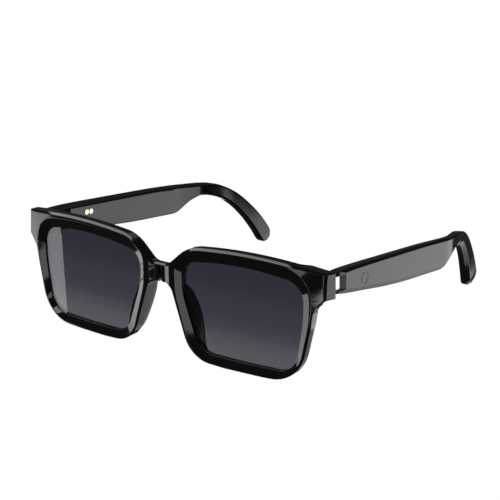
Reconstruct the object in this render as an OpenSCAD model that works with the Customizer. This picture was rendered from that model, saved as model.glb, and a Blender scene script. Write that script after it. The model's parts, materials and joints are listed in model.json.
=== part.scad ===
// Smart audio glasses: a wrapped front with two tinted lenses, and two hinged temples.
// Each temple holds its own battery, board, speaker and microphone.
// +Z is up, the wearer looks towards -Y, and the glasses stand on Z = 0 with the temples open.

/* [Lenses] */
// Width of each lens opening
lens_w = 53.8; // [40:0.1:68]
// Height of each lens opening
lens_h = 38.4; // [30:0.1:48]
// Thickness of a lens
lens_t = 1.8; // [1.4:0.1:2.2]
// Radius of a lens across its width
lens_r = 400; // [250:10:800]
// How far a lens edge reaches into its groove
lens_lip = 0.7; // [0.4:0.1:1]
// How far the middle of a lens sits behind the face of the front
lens_setback = 1.5; // [1.4:0.1:1.8]

/* [Front] */
// Distance from the middle to each lens opening
nose_half = 10.4; // [8.5:0.1:13]
// Radius of the front's wrap round the face
wrap_r = 572; // [400:10:900]
// Depth of the front at the top of the rims
rim_depth_top = 5.4; // [5:0.1:7]
// Depth of the front at the bottom of the rims
rim_depth_low = 4.3; // [4.2:0.1:6]
// Width of the flat land round each bevel
land = 1; // [0.6:0.1:2]
// Width of the bevel above a lens
bevel_top = 3.9; // [2.5:0.1:5]
// Width of the bevel at the temple side of a lens
bevel_side = 3.2; // [2:0.1:4.5]
// Width of the bevel at the nose side of a lens
bevel_nose = 2.6; // [1.6:0.1:4]
// Width of the bevel under a lens
bevel_low = 2.8; // [1.6:0.1:4]
// Depth of the bevel at the lens
bevel_depth = 1.3; // [0.8:0.1:1.4]
// Height of the bridge
bridge_h = 7.5; // [5:0.1:9]
// How far the middle of the bridge is set back
bridge_setback = 0.9; // [0.3:0.1:1.5]
// Radius of the lower outer corner of a rim
low_corner_r = 15; // [10:0.5:16]
// Rounding of the rear edges of the rims
rear_round = 1.5; // [0.8:0.1:1.8]

/* [End pieces and hinges] */
// Height of each end piece
end_h = 10; // [9:0.1:13]
// How far an end piece reaches past the lens opening
end_reach = 9.1; // [7:0.1:14]
// How far an end piece flares out towards the temple
end_flare = 1; // [0:0.1:3]
// Distance from the face of the front to the rear of an end piece
end_depth = 11.3; // [9.6:0.1:13.4]
// Diameter of a hinge pin
pin_d = 1.5; // [1.2:0.1:1.8]
// Radius of a hinge knuckle
knuckle_r = 2.2; // [1.8:0.1:2.4]
// Height of a hinge knuckle
knuckle_h = 4.2; // [3:0.1:4.6]
// Thickness of a hinge washer
washer_t = 0.2; // [0.1:0.05:0.3]

/* [Temples] */
// Length of a temple from the end piece to the rear of its tip
temple_len = 134.7; // [113:0.1:163]
// Length of the deep part of a temple, which holds the electronics
body_len = 81.2; // [68:0.1:98]
// Height of a temple at its deepest
body_h = 13.2; // [10.5:0.1:15.8]
// Height of a temple at its front end
root_h = 6.1; // [5.5:0.1:7]
// Thickness of a temple at the hinge
root_t = 6.5; // [5.8:0.1:7.8]
// Thickness of the arm behind the electronics
arm_t = 4.5; // [4.1:0.1:5.4]
// Angle at which a temple slopes down to the rear
droop = 5.3; // [3:0.1:8]
// Radius of the rounded tip
tip_r = 4.5; // [3.5:0.1:5.4]
// Angle at which the tip turns in behind the ear
hook_angle = 18.5; // [8:0.5:22]
// Thickness of the outer wall
wall = 1; // [0.8:0.1:1.2]
// Thickness of the inner cover
cover_t = 0.9; // [0.7:0.1:1.1]

/* [Electronics] */
// Length of the circuit board
board_len = 20; // [16:0.5:24]
// Thickness of the circuit board
board_t = 0.8; // [0.6:0.1:1]
// Length of the battery
battery_len = 24; // [18:0.5:29]
// Thickness of the battery
battery_t = 2.8; // [2:0.1:3.3]
// Length of the speaker
speaker_len = 9.5; // [7:0.5:10]
// Diameter of a charging contact
contact_d = 2.2; // [1.5:0.1:2.4]
// Distance between the charging contacts
contact_pitch = 2.6; // [2.5:0.1:4]
// Diameter of the wire in the arm
core_d = 1.4; // [1:0.1:1.8]

/* [Hidden] */
$fn = 48;
PAIRED = ["lens", "nose_pad", "hinge_leaf", "hinge_leaf_screws", "hinge_pin", "hinge_washers",
          "temple_shell", "temple_cover", "main_board", "board_chips", "battery",
          "speaker_ribbon", "speaker", "speaker_mesh", "microphone", "charging_contacts",
          "charger_magnets", "touch_pad", "antenna", "core_wire"];
SIDES = [["left", 1], ["right", -1]];

// Clearances
run_gap = 0.03;    // between pieces that turn on each other
stop_gap = 0.1;    // between an open temple and its end piece
groove_gap = 0.05; // round a lens in its groove
seam_gap = 0.04;   // round an inner cover

// Heights of the front, up from the bottom of the rims
open_low = land + bevel_low;
open_top = open_low + lens_h;
rim_top = open_top + bevel_top + land + 0.6;
end_top = open_top + 2.4;
end_low = end_top - end_h;
bridge_top = open_top - 6;
bridge_low = bridge_top - bridge_h;

// Distances from the middle of the front
open_out = nose_half + lens_w;
open_mid = nose_half + lens_w / 2;
end_x = open_out + end_reach;
end_rear_x = end_x + end_flare;

// Distances from front to rear
front_y = -(end_depth + temple_len) / 2;
stop_y = front_y + end_depth;

// Hinge
hinge_setback = knuckle_r + 0.4;
tine_r = knuckle_r + 0.1;
inner_x = end_x - root_t + 0.5;
axis_x = inner_x + tine_r;
axis_y = stop_y + hinge_setback;
hinge_z = end_top - 5.8;
notch_h = knuckle_h + 2 * (washer_t + run_gap);
leaf_w = 4 * knuckle_r;
leaf_h = knuckle_h + 1.2;
leaf_t = 1.2;
leaf_screw_d = 1.1;
leaf_screw_len = 2.8;
pin_grip = 0.8;             // how far the pin reaches into the lower tine
notch_out = 7.3;            // depth of the fork at the outer face
notch_in = 12.4;            // depth of the fork at the inner face
notch_fall = 3.75;          // fall of its floor to the inside
tine_t = 1.3;               // height of the upper tine where its top is cut away
pin_head_d = pin_d + 1.1;
pin_head_h = 0.6;
pin_low_z = end_top - 9.4;  // lower end of the pin

// Inside of a temple, along it from the end piece and down from its top
cover_from = 16;            // front end of the inner cover
cover_edge = 2;             // from the top of a temple to its cover
cover_low_edge = 2.2;       // from the cover to the underside
lip = 0.6;                  // ledge that a cover lies on
parts_top = 3;              // top of the board and the battery
parts_h = 4.6;              // height of the board
mic_drop = parts_top + parts_h - 1.2;
contact_y = 23.8;           // middle of the two charging contacts
contact_drop = 4.25;
board_y = 18.6;
board_gap = 1.6;            // from the cover to the board
battery_y = board_y + board_len + 3;
battery_h = 6.6;
speaker_y = battery_y + battery_len + 2;
speaker_h = 6.2;
speaker_t = 2.4;
port_len = 6;               // speaker port
port_w = 1;
mark_y = 20.3;              // middle of the touch mark
mark_drop = 5.8;
mark_d = 4.8;

// Points of a closed path of [a, b, radius] corners, with each corner rounded by its radius
function unit(v) = v / norm(v);
function mix(a, b, f) = a + (b - a) * f;
function turned(p, q, s) = let (u = unit(p - q), w = unit(s - q)) acos(max(-1, min(1, u * w)));
function corner(p, q, s, r) =
    let (u = unit(p - q), w = unit(s - q), half = turned(p, q, s) / 2,
         c = q + unit(u + w) * r / sin(half), from = q + u * r / tan(half) - c,
         spin = sign(cross(u, w)), steps = r < 20 ? 10 : 4)
    r < 0.01 ? [q] :
    [for (k = [0:steps]) let (a = -spin * (180 - 2 * half) * k / steps)
        c + [from.x * cos(a) - from.y * sin(a), from.x * sin(a) + from.y * cos(a)]];
function flat(p) = [p[0], p[1]];
function rounded(path) = let (n = len(path))
    [for (i = [0:n - 1]) each corner(flat(path[(i + n - 1) % n]), flat(path[i]),
                                     flat(path[(i + 1) % n]), path[i][2])];
// The same clockwise path moved out by d all the way round
function grown(path, d) = let (n = len(path))
    [for (i = [0:n - 1])
        let (p = flat(path[(i + n - 1) % n]), q = flat(path[i]), s = flat(path[(i + 1) % n]),
             u = unit(p - q), w = unit(s - q), half = turned(p, q, s) / 2,
             out = cross(u, w) > 0 ? d : -d, m = q - unit(u + w) * out / sin(half))
        [m.x, m.y, max(min(0.4, path[i][2]), path[i][2] + out)]];
function mirrored(path) = [for (i = [len(path) - 1:-1:0]) [-path[i][0], path[i][1], path[i][2]]];

// Lens opening as [x, z, radius], clockwise from its upper nose corner
opening = [
    [nose_half - 0.2, open_top - 3.6, 7],
    [open_mid, open_top + 0.1, 120],
    [open_out + 0.3, open_top - 3.3, 8],
    [open_out - 0.1, open_top - 18, 60],
    [open_out - 3.4, open_low - 0.2, 9],
    [open_mid, open_low - 0.3, 150],
    [nose_half + 7.8, open_low + 0.1, 9],
    [nose_half, open_top - 16, 25]];
// Outer edge of the bevel on the face of the front
bevel_edge = [
    [nose_half - bevel_nose, open_top + bevel_top - 3.9, 8.5],
    [open_mid, open_top + bevel_top + 0.1, 150],
    [open_out + bevel_side + 0.4, open_top + bevel_top - 3.4, 11],
    [open_out + bevel_side - 0.2, open_top - 18, 60],
    [open_out + bevel_side - 4.9, open_low - bevel_low, 10],
    [open_mid, open_low - bevel_low, 150],
    [nose_half - bevel_nose + 7.5, open_low - bevel_low + 0.3, 10],
    [nose_half - bevel_nose, open_top - 16, 25]];
low_out_x = open_out + bevel_side - 4.5;
low_nose_x = nose_half - bevel_nose + 6.8;
// Half of the front's outline, from the top of the bridge round the rim to its underside
rim_half = [
    [nose_half - 6.6, bridge_top, 5],
    [nose_half + 3.4, rim_top - 2.6, 16],
    [open_mid + 3, rim_top, 200],
    [end_x, end_top, 0.8],
    [end_x, end_low, 0.8],
    [open_out + bevel_side + 1.5, end_low - 4.6, 5],
    [open_out + bevel_side + land - 0.5, open_top - 18.5, 60],
    [low_out_x, 0.5, low_corner_r],
    [low_out_x - low_corner_r, 0, 60],
    [low_nose_x + low_corner_r, 0, 60],
    [low_nose_x, 0.8, low_corner_r - 2],
    [nose_half - bevel_nose - land - 1.5, bridge_low, 4.2]];

module along_y(from, to) {
    translate([0, to, 0]) rotate([90, 0, 0]) linear_extrude(to - from) children();
}
module along_x(from, to) {
    translate([from, 0, 0]) rotate([90, 0, 90]) linear_extrude(to - from) children();
}
module on_side(s) {
    if (s > 0) children();
    else mirror([1, 0, 0]) children();
}

// ---- Front ----
rear_tilt = atan((rim_depth_top - rim_depth_low) / rim_top);

// Everything in front of the rear face of the front, when taken from the front cylinder
module rear_cylinder() {
    translate([0, front_y + wrap_r, rim_top]) rotate([-rear_tilt, 0, 0])
        translate([0, 0, -2 * rim_top]) cylinder(h = 3 * rim_top, r = wrap_r - rim_depth_top, $fn = 360);
}
function wrap_y(x) = front_y + wrap_r - sqrt(wrap_r * wrap_r - x * x);
function rim_depth(z) = mix(rim_depth_low, rim_depth_top, z / rim_top);
// The outline of the front carried from front to rear, drawn in towards the rear face
module rims() {
    outline = concat(rim_half, mirrored(rim_half));
    function ring(shrink, before_rear) = [for (p = rounded(grown(outline, -shrink)))
        [p.x, wrap_y(p.x) + rim_depth(p.y) - before_rear, p.y]];
    function straight(shrink, y) = [for (p = rounded(grown(outline, -shrink))) [p.x, y, p.y]];
    skin([straight(0, front_y - 2), ring(0, 1.3 * rear_round), ring(0.3 * rear_round, 0.5 * rear_round),
          ring(rear_round, 0), straight(rear_round, front_y + 22)]);
}
module wrapped_slab() {
    difference() {
        translate([0, front_y + wrap_r, -1]) cylinder(h = rim_top + 2, r = wrap_r, $fn = 360);
        rear_cylinder();
        translate([-wrap_r - 1, front_y + 20, -2]) cube([2 * wrap_r + 2, 2 * wrap_r, rim_top + 4]);
    }
}

// Cuts the bevel: a skin from the bevel's outer edge on the face to the lens opening
module bevel_cutter() {
    outer = rounded(bevel_edge);
    inner = rounded(opening);
    n = len(outer);
    mid = [open_mid, (open_low + open_top) / 2];
    function ring(reach) = [for (i = [0:n - 1]) let (p = inner[i] + (outer[i] - inner[i]) * reach)
        [p.x, wrap_y(p.x) + bevel_depth * (1 - reach), p.y]];
    points = concat(ring(2), ring(0), [[mid.x, wrap_y(mid.x) - 3, mid.y], [mid.x, wrap_y(mid.x) + 3, mid.y]]);
    faces = [for (i = [0:n - 1]) let (j = (i + 1) % n)
        each [[i, j, 2 * n], [i, i + n, j], [j, i + n, j + n], [i + n, 2 * n + 1, j + n]]];
    polyhedron(points, faces);
}

// The stretch between two cylinders that a lens fills, thicker by gap on both faces
module lens_shell(gap) {
    turn = asin(open_mid / wrap_r);
    translate([open_mid, wrap_y(open_mid) + lens_setback, 0]) rotate([0, 0, turn])
        translate([0, lens_r, -1]) difference() {
            cylinder(h = rim_top + 2, r = lens_r + gap, $fn = 360);
            translate([0, 0, -1]) cylinder(h = rim_top + 4, r = lens_r - lens_t - gap, $fn = 360);
        }
}
module lens_space(gap) {
    intersection() {
        along_y(front_y - 2, front_y + 12) polygon(rounded(grown(opening, lens_lip + gap)));
        lens_shell(gap);
    }
}
module lens() {
    color([0.17, 0.18, 0.22, 0.75]) lens_space(0);
}

// Rear block of an end piece, which carries the hinge and stops the temple
module end_block() {
    block = [[end_x - 12, wrap_y(end_x - 12) + 2, 0], [end_x, wrap_y(end_x), 0],
             [end_rear_x, stop_y, 1.2], [end_x - 9.5, stop_y, 1.4],
             [end_x - 12.5, wrap_y(end_x - 12.5) + 4.6, 0]];
    slope = (stop_y - wrap_y(end_x)) * tan(droop);
    side = [[wrap_y(end_x), end_low], [wrap_y(end_x - 13), end_low], [wrap_y(end_x - 13), end_top],
            [wrap_y(end_x), end_top], [stop_y, end_top - slope], [stop_y, end_low - slope]];
    intersection() {
        translate([0, 0, end_low - 2]) linear_extrude(end_h + 3) polygon(rounded(block));
        along_x(0, end_rear_x + 1) polygon(side);
    }
}
module leaf_pocket() {
    translate([axis_x - leaf_w / 2, stop_y - leaf_t, hinge_z - leaf_h / 2])
        cube([leaf_w, leaf_t + 1, leaf_h]);
}
module bridge_recess() {
    side = nose_half - bevel_nose - land - 1.8;
    flat_half = side / 2;
    recess = [[-side, front_y - 1], [-side, front_y], [-flat_half, front_y + bridge_setback],
              [flat_half, front_y + bridge_setback], [side, front_y], [side, front_y - 1]];
    translate([0, 0, bridge_low - 8]) linear_extrude(bridge_h + 16) polygon(recess);
}
module front_frame() {
    color([0.05, 0.05, 0.055]) difference() {
        union() {
            intersection() {
                rims();
                wrapped_slab();
            }
            for (side = SIDES) on_side(side[1]) end_block();
        }
        bridge_recess();
        for (side = SIDES) on_side(side[1]) {
            bevel_cutter();
            along_y(front_y - 2, front_y + 22) polygon(rounded(opening));
            lens_space(groove_gap);
            leaf_pocket();
            leaf_screw_places() cylinder(h = leaf_t + leaf_screw_len + 1, d = leaf_screw_d);
        }
    }
}
// A pad glued behind the nose side of a rim, as level slices from its top to its bottom
module nose_pad() {
    pad_w = 6.4;
    pad_deep = 5.6;
    glue_gap = 0.02;
    pad_top = bridge_low + 1.5;
    pad_h = bridge_low - 1;
    edge_x = nose_half - bevel_nose - land - 1.5;
    lean = (low_nose_x - edge_x) / (bridge_low - 0.8);
    function slice(t) =
        let (z = pad_top - pad_h * t, s = pow(sin(180 * t), 0.4), deep = (pad_deep - 3 * t) * s,
             x = edge_x + 0.2 + (bridge_low - z) * lean)
        [for (a = [0:22.5:180])
            let (side = sign(cos(a)) * pow(abs(cos(a)), 0.6), px = x + pad_w / 2 * (1 - s * side))
            [px, wrap_y(px) + rim_depth(z) + glue_gap + deep * pow(sin(a), 0.7), z]];
    color([0.06, 0.06, 0.065])
        skin([for (t = [0.02, 0.06, 0.12, 0.2, 0.3, 0.4, 0.5, 0.6, 0.7, 0.8, 0.88, 0.94, 0.98]) slice(t)]);
}

// ---- Hinge ----
module leaf_screw_places() {
    for (s = [-1, 1])
        translate([axis_x + s * (leaf_w / 2 - 1.1), stop_y - leaf_t - leaf_screw_len, hinge_z])
            rotate([-90, 0, 0]) children();
}
module hinge_leaf() {
    color([0.62, 0.63, 0.65]) difference() {
        union() {
            translate([axis_x - leaf_w / 2, stop_y - leaf_t, hinge_z - leaf_h / 2])
                cube([leaf_w, leaf_t, leaf_h]);
            translate([axis_x - 1.4, stop_y - 0.1, hinge_z - knuckle_h / 2])
                cube([2.8, hinge_setback, knuckle_h]);
            translate([axis_x, axis_y, hinge_z - knuckle_h / 2]) cylinder(h = knuckle_h, r = knuckle_r);
        }
        translate([axis_x, axis_y, hinge_z - knuckle_h]) cylinder(h = 2 * knuckle_h, r = pin_d / 2 + run_gap);
        leaf_screw_places() cylinder(h = leaf_t + leaf_screw_len + 1, d = leaf_screw_d);
        leaf_screw_places() translate([0, 0, leaf_t + leaf_screw_len - 0.5])
            cylinder(h = 1, d = leaf_screw_d + 0.8);
    }
}
module hinge_leaf_screws() {
    color([0.7, 0.7, 0.72]) leaf_screw_places() difference() {
        union() {
            cylinder(h = leaf_t + leaf_screw_len, d = leaf_screw_d);
            translate([0, 0, leaf_t + leaf_screw_len - 0.5]) cylinder(h = 0.5, d = leaf_screw_d + 0.8);
        }
        translate([0, 0, leaf_t + leaf_screw_len - 0.25]) cylinder(h = 1, d = 0.8, $fn = 6);
    }
}
module pin_shape() {
    translate([axis_x, axis_y, pin_low_z]) {
        cylinder(h = hinge_z + notch_h / 2 + pin_grip - pin_low_z, r = pin_d / 2);
        cylinder(h = pin_head_h, r = pin_head_d / 2);
    }
}
module hinge_pin() {
    color([0.7, 0.7, 0.72]) difference() {
        pin_shape();
        translate([axis_x - 1, axis_y - 0.2, pin_low_z - 1]) cube([2, 0.4, 1.3]);
    }
}
module hinge_washers() {
    color([0.75, 0.74, 0.7]) for (s = [-1, 1])
        translate([axis_x, axis_y, hinge_z + s * (notch_h - washer_t) / 2 - washer_t / 2])
            difference() {
                cylinder(h = washer_t, r = tine_r - 0.2);
                translate([0, 0, -1]) cylinder(h = 2, r = pin_d / 2);
            }
}

// ---- Temple ----
hook_len = temple_len - body_len;
bend_r = 50;
// How a temple's height grows from root_h to body_h, from 0 to 1, against the share of body_len
growth = [[0, 0], [0.017, 0.2], [0.046, 0.36], [0.123, 0.53], [0.25, 0.68], [0.443, 0.87],
          [0.635, 0.98], [0.827, 1], [0.955, 0.98], [1, 0.94], [1.045, 0.72], [1.103, 0.33],
          [1.16, 0.04]];
// How far the top dips at both ends of the deep part, as millimetres against the share of body_len
function top_drop(f) = lookup(f, [[0, 2.3], [0.017, 1.4], [0.046, 0.6], [0.12, 0.2], [0.25, 0], [0.8, 0],
                                  [1, 0.4], [1.16, 0.9]]);
function temple_t(y) = mix(root_t, arm_t, max(0, min(1, y / (body_len * 1.15))));
function top_z(y) = end_top - 0.7 - y * tan(droop);
// By the hinge a temple grows towards the height that the fork needs, and body_h sets the rest
hinge_h = 13.2;
function body_height(y) = let (f = y / body_len)
    mix(root_h, f < 0.2 ? hinge_h : body_h, lookup(f, growth));
function inset(y) = let (u = max(0, y - body_len), s = tan(hook_angle))
    u < s * bend_r ? u * u / (2 * bend_r) : s * u - s * s * bend_r / 2;
arm_z = top_z(body_len * 1.16) - 0.9 - 0.24 * body_h;

// A row is [distance from the end piece, height of its middle, lean, height, share of thickness]
function body_row(f) = let (y = f * body_len, h = body_height(y))
    [y, top_z(y) - top_drop(f) - h / 2, 0, h, 1];
function hook_row(f, g, lean, h) = [body_len + f * hook_len, mix(arm_z, tip_r, g), lean, h * tip_r, 1];
tip_lean = 60;
tip_row = [temple_len - tip_r, tip_r, tip_lean, 2 * tip_r, 1];
rows = concat([for (p = growth) body_row(p[0])],
              [hook_row(0.3, 0, 6, 1.22), hook_row(0.395, 0.035, 13, 1.26),
               hook_row(0.52, 0.13, 25, 1.38), hook_row(0.64, 0.3, 39, 1.54),
               hook_row(0.752, 0.53, 50, 1.7), hook_row(0.845, 0.77, 57, 1.88), tip_row]);
// Catmull-Rom point between rows i and i + 1
function at_row(i) = rows[max(0, min(len(rows) - 1, i))];
function spline(i, t) = let (a = at_row(i - 1), b = at_row(i), c = at_row(i + 1), d = at_row(i + 2))
    0.5 * (2 * b + (c - a) * t + (2 * a - 5 * b + 4 * c - d) * t * t + (3 * b - a - 3 * c + d) * t * t * t);
function tip_cap(a) = [tip_row[0] + tip_r * cos(a) * cos(tip_lean), tip_r - tip_r * cos(a) * sin(tip_lean),
                       tip_lean, 2 * tip_r * sin(a), 0.4 + 0.6 * sin(a)];
stations = concat([for (i = [0:len(rows) - 2]) for (t = [0, 0.5]) spline(i, t)], [tip_row],
                  [for (a = [75:-15:15]) tip_cap(a)], [tip_cap(4)]);

// Cross-section as [across, up] from the inner face: flat sides, a top that falls to the inside,
// and a chamfer along the bottom of the outer side
top_round = 1;
top_fall = 0.9;
chamfer_h = 2;
chamfer_w = 1.2;
function section(h, t) =
    let (r = min(top_round, 0.3 * h), c = min(chamfer_h, 0.3 * h), w = min(chamfer_w, 0.3 * t),
         in_top = h / 2 - min(top_fall, 0.12 * h))
    [[0, -h / 2 + 0.4 * c], [0, in_top - r], [0.3 * r, in_top - 0.3 * r], [r, in_top],
     [t - r, h / 2], [t - 0.3 * r, h / 2 - 0.3 * r], [t, h / 2 - r], [t, -h / 2 + c],
     [t - 0.4 * w, -h / 2 + 0.4 * c], [t - w, -h / 2], [0.6 * w, -h / 2], [0.2 * w, -h / 2 + 0.15 * c]];
function placed(row, p) = let (edge = temple_t(row[0]) * (1 - row[4]) / 2)
    [inner_x - inset(row[0]) + edge + p.x, stop_y + row[0] + p.y * sin(row[2]), row[1] + p.y * cos(row[2])];
function ring_of(row) = [for (p = section(row[3], temple_t(row[0]) * row[4])) placed(row, p)];

// A closed skin through rings that all have the same number of points
module skin(rings) {
    n = len(rings[0]);
    m = len(rings);
    points = [for (ring = rings) each ring];
    faces = concat([[for (i = [0:n - 1]) i]], [[for (i = [n - 1:-1:0]) (m - 1) * n + i]],
        [for (k = [0:m - 2]) for (i = [0:n - 1]) let (j = (i + 1) % n)
            each [[k * n + j, k * n + i, k * n + i + n], [k * n + j, k * n + i + n, k * n + j + n]]]);
    polyhedron(points, faces);
}
module temple_form() {
    skin([for (row = stations) ring_of(row)]);
}
// Side view of the inner cover's space, shrunk by edge all round
function cover_outline(edge) =
    let (ys = [for (f = [0:0.1:1]) mix(cover_from + edge, body_len - 1.5 - edge, f)], n = len(ys) - 1)
    concat([for (i = [0:n]) [stop_y + ys[i], top_z(ys[i]) - cover_edge - edge, i == 0 || i == n ? 1.5 : 0]],
           [for (i = [n:-1:0]) [stop_y + ys[i], top_z(ys[i]) - body_height(ys[i]) + cover_low_edge + edge,
                                i == 0 || i == n ? 1.5 : 0]]);
module cavity() {
    plan = [[inner_x + cover_t - 0.5, stop_y + cover_from], [inner_x + cover_t - 0.5, stop_y + body_len],
            [inner_x + temple_t(body_len) - wall, stop_y + body_len],
            [inner_x + temple_t(cover_from) - wall, stop_y + cover_from]];
    intersection() {
        along_x(inner_x, inner_x + root_t) polygon(rounded(cover_outline(lip)));
        linear_extrude(rim_top) polygon(plan);
    }
}
// Fork of the hinge, as far as its oblique rear wall.
// Its floor falls to the inside, round the boss of the pin.
module notch() {
    floor_z = hinge_z - notch_h / 2;
    roof_z = hinge_z + notch_h / 2;
    out_x = inner_x + root_t + 1;
    slant = (notch_in - notch_out) / root_t;
    difference() {
        intersection() {
            along_y(stop_y - 1, stop_y + notch_in + 2)
                polygon([[inner_x - 1, roof_z], [inner_x - 1, floor_z - notch_fall],
                         [out_x, floor_z - 0.5], [out_x, roof_z]]);
            linear_extrude(rim_top)
                polygon([[inner_x - 1, stop_y - 1], [inner_x - 1, stop_y + notch_in + slant],
                         [out_x, stop_y + notch_out - slant], [out_x, stop_y - 1]]);
        }
        translate([axis_x, axis_y, 0]) cylinder(h = floor_z, r = tine_r);
    }
}
// Takes away what would foul the end piece: the inner front corner round the pin's boss,
// the outer front corner, and the inner half of the top down to the upper tine
module root_relief() {
    out_x = inner_x + root_t;
    difference() {
        translate([inner_x - 1, stop_y - 1, end_low - 5])
            cube([axis_x - inner_x + 1, hinge_setback + 1, end_h + 8]);
        translate([axis_x, axis_y, end_low - 6]) cylinder(h = end_h + 10, r = tine_r);
    }
    translate([0, 0, end_low - 5]) linear_extrude(end_h + 10)
        polygon([[axis_x + 1.4, stop_y - 1], [axis_x + 1.4, stop_y], [axis_x + 2, stop_y + 0.7],
                 [axis_x + 2.7, stop_y + 2], [out_x - 0.8, stop_y + 4.2], [out_x - 0.1, stop_y + notch_out],
                 [out_x + 1, stop_y + notch_out + 1], [out_x + 1, stop_y - 1]]);
    translate([0, 0, hinge_z + notch_h / 2 + tine_t]) linear_extrude(10)
        polygon([[inner_x - 1, stop_y - 1], [inner_x - 1, stop_y + notch_in + 0.6],
                 [axis_x + 1, stop_y + notch_out], [axis_x + 1, stop_y - 1]]);
}
module touch_mark() {
    x = inner_x + temple_t(mark_y);
    translate([x - 0.15, stop_y + mark_y, top_z(mark_y) - mark_drop]) rotate([0, 90, 0]) difference() {
        cylinder(h = 2, d = mark_d);
        translate([0, 0, -1]) cylinder(h = 4, d = mark_d - 0.6);
    }
}
// Children placed along the temple: X across from the inside of the cover, Z up from the top line
module in_temple(y) {
    translate([inner_x + cover_t, stop_y + y, top_z(y)]) rotate([-droop, 0, 0]) children();
}
module speaker_port() {
    in_temple(speaker_y + (speaker_len - port_len) / 2)
        translate([(temple_t(speaker_y) - cover_t) / 2 - 0.7, 0, -body_h - 1])
            cube([port_w, port_len, body_h - 5]);
}
module temple_shell() {
    color([0.07, 0.07, 0.075]) difference() {
        temple_form();
        translate([inner_x - 5, stop_y - 5, end_low - 5]) cube([root_t + 10, 5 + stop_gap, end_h + 10]);
        root_relief();
        notch();
        along_x(inner_x - 1, inner_x + cover_t) polygon(rounded(cover_outline(0)));
        cavity();
        speaker_port();
        touch_mark();
        pin_shape();
        translate([axis_x, axis_y, pin_low_z - 3]) cylinder(h = 3.01, r = pin_head_d / 2);
        core_channel(run_gap);
    }
}
module temple_cover() {
    color([0.09, 0.09, 0.095]) difference() {
        intersection() {
            temple_form();
            along_x(inner_x - 1, inner_x + cover_t) polygon(rounded(cover_outline(seam_gap)));
        }
        for (s = [-1, 1]) in_temple(contact_y + s * contact_pitch / 2)
            translate([-cover_t - 1, 0, -contact_drop]) rotate([0, 90, 0])
                cylinder(h = cover_t + 2, d = contact_d);
        in_temple(board_y + 1) translate([-cover_t - 1, 0, -mic_drop])
            rotate([0, 90, 0]) cylinder(h = cover_t + 2, d = 0.7);
    }
}
module core_channel(gap) {
    last = len(rows) - 2;
    first = last - 8;
    path = [for (i = [first:last]) for (t = i == last ? [0] : [0, 0.5]) let (row = spline(i, t))
        placed(row, [temple_t(row[0]) / 2, 0])];
    n = len(path);
    skin([for (i = [0:n - 1])
        let (d = unit(path[min(n - 1, i + 1)] - path[max(0, i - 1)]),
             s = unit(cross(d, [0, 0, 1])), u = cross(s, d))
        [for (k = [0:7]) path[i] + (core_d / 2 + gap) * (cos(45 * k) * s - sin(45 * k) * u)]]);
}
module core_wire() {
    color([0.7, 0.7, 0.72]) core_channel(0);
}

// ---- Electronics, inside a temple ----
module main_board() {
    color([0.05, 0.3, 0.18]) in_temple(board_y)
        translate([board_gap, 0, -parts_top - parts_h]) cube([board_t, board_len, parts_h]);
}
module board_chips() {
    // Place along the board, place up it, length, height and thickness of each chip
    chips = [[3.5, 0.8, 4, 3.4, 0.9], [9, 0.6, 3, 3, 0.7], [13.5, 1, 2, 2.6, 0.6], [16.5, 0.8, 2.4, 3, 0.8]];
    color([0.1, 0.1, 0.1]) in_temple(board_y) for (c = chips)
        translate([board_gap + board_t, c[0], -parts_top - parts_h + c[1]]) cube([c[4], c[2], c[3]]);
}
module microphone() {
    color([0.8, 0.75, 0.5]) in_temple(board_y)
        translate([board_gap - 1, 0, -mic_drop - 1]) cube([1, 2.2, 1.6]);
}
module battery() {
    color([0.72, 0.74, 0.78]) in_temple(battery_y)
        translate([0.1, 0, -parts_top - battery_h]) cube([battery_t, battery_len, battery_h]);
}
module speaker_ribbon() {
    from = board_y + board_len - 2;
    color([0.85, 0.5, 0.1]) in_temple(from)
        translate([board_gap, 0, -parts_top]) cube([board_t, speaker_y + 2 - from, 0.15]);
}
module speaker() {
    color([0.3, 0.3, 0.32]) in_temple(speaker_y)
        translate([0.1, 0, -parts_top - speaker_h]) cube([speaker_t, speaker_len, speaker_h]);
}
module speaker_mesh() {
    color([0.5, 0.5, 0.5]) in_temple(speaker_y + (speaker_len - port_len) / 2)
        translate([(temple_t(speaker_y) - cover_t) / 2 - 0.7, 0, -body_h + 1.4])
            cube([port_w, port_len, 0.3]);
}
module charging_contacts() {
    color([0.85, 0.7, 0.35]) for (s = [-1, 1]) in_temple(contact_y + s * contact_pitch / 2)
        translate([-cover_t - 0.05, 0, -contact_drop]) rotate([0, 90, 0]) {
            cylinder(h = cover_t + 0.05, d = contact_d);
            cylinder(h = cover_t + 0.05 + board_gap, d = contact_d / 2);
        }
}
module charger_magnets() {
    away = contact_pitch / 2 + contact_d / 2 + 1.6;
    color([0.6, 0.6, 0.62]) for (s = [-1, 1]) in_temple(contact_y + s * away)
        translate([0, 0, -contact_drop]) rotate([0, 90, 0]) cylinder(h = board_gap, d = 2.4);
}
module touch_pad() {
    pad_len = 6;
    slope = atan((root_t - arm_t) / (body_len * 1.15));
    color([0.85, 0.5, 0.1]) in_temple(mark_y)
        translate([temple_t(mark_y) - cover_t - wall - 0.2, 0, -parts_top - parts_h + 1])
            rotate([0, 0, slope]) translate([0, -pad_len / 2, 0]) cube([0.15, pad_len, parts_h - 1.4]);
}
module antenna() {
    color([0.8, 0.55, 0.3]) in_temple(board_y + 3)
        translate([0.6, 0, -cover_edge - lip - 0.15]) cube([2, 30, 0.15]);
}

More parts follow.
